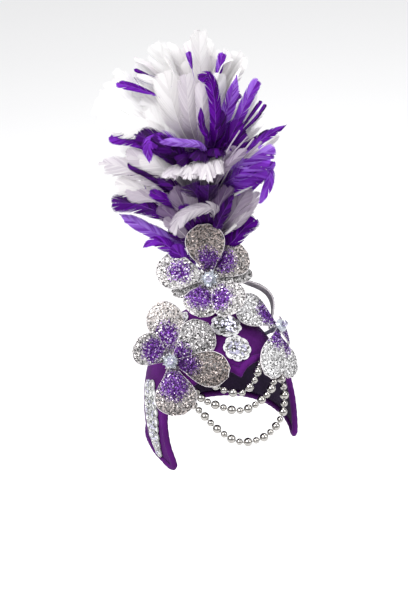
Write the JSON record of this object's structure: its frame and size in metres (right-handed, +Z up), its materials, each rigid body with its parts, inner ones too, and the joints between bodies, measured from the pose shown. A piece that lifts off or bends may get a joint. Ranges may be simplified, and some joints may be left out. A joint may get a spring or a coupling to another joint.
{
  "type": "feather headpiece",
  "caption": "Worn skull cap with side panels, a tall feather plume, glitter flowers, lace patches and draped strings of beads.",
  "frame": {"origin": "the inside of the cap's crown, where it rests on the top of a head", "axes": "+Z up along the plume, -Y towards the wearer's front, +X towards the wearer's left"},
  "size_m": [0.1801, 0.2051, 0.4611],
  "materials": {
    "violet_cloth": "matte woven cloth",
    "violet_feather": "soft feather barbs with a slight sheen",
    "white_feather": "soft feather barbs",
    "silver_glitter": "stiff cloth coated with silver and violet glitter",
    "ice_white": "glossy icy clusters",
    "silver_lace": "sequinned lace",
    "silver_bead": "polished"
  },
  "bodies": {
    "root": {"cap_shell": "violet_cloth", "rim_roll": "violet_cloth", "plume_stem": "violet_cloth", "plume_tier_1": "violet_feather", "plume_tier_2": "white_feather", "plume_tier_3": "violet_feather", "plume_tier_4": "white_feather", "plume_tier_5": "violet_feather", "plume_tier_6": "white_feather", "plume_tier_7": "violet_feather", "plume_tier_8": "white_feather", "plume_tier_9": "white_feather", "plume_tip": "white_feather", "crown_flower_petal_1": "silver_glitter", "crown_flower_petal_2": "silver_glitter", "crown_flower_petal_3": "silver_glitter", "crown_flower_petal_4": "silver_glitter", "crown_flower_petal_5": "silver_glitter", "crown_flower_leaf_1": "silver_glitter", "crown_flower_leaf_2": "silver_glitter", "crown_flower_centre": "ice_white", "right_flower_petal_1": "silver_glitter", "right_flower_petal_2": "silver_glitter", "right_flower_petal_3": "silver_glitter", "right_flower_petal_4": "silver_glitter", "right_flower_petal_5": "silver_glitter", "right_flower_centre": "ice_white", "left_flower_petal_1": "silver_glitter", "left_flower_petal_2": "silver_glitter", "left_flower_petal_3": "silver_glitter", "left_flower_petal_4": "silver_glitter", "left_flower_petal_5": "silver_glitter", "left_flower_centre": "ice_white", "lace_motif_upper": "silver_lace", "lace_motif_lower": "silver_lace", "lace_motif_side": "silver_lace", "side_lace_right": "silver_lace", "side_lace_left": "silver_lace", "bead_swag_upper": "silver_bead", "bead_swag_middle": "silver_bead", "bead_swag_lower": "silver_bead"}
  },
  "joints": []
}
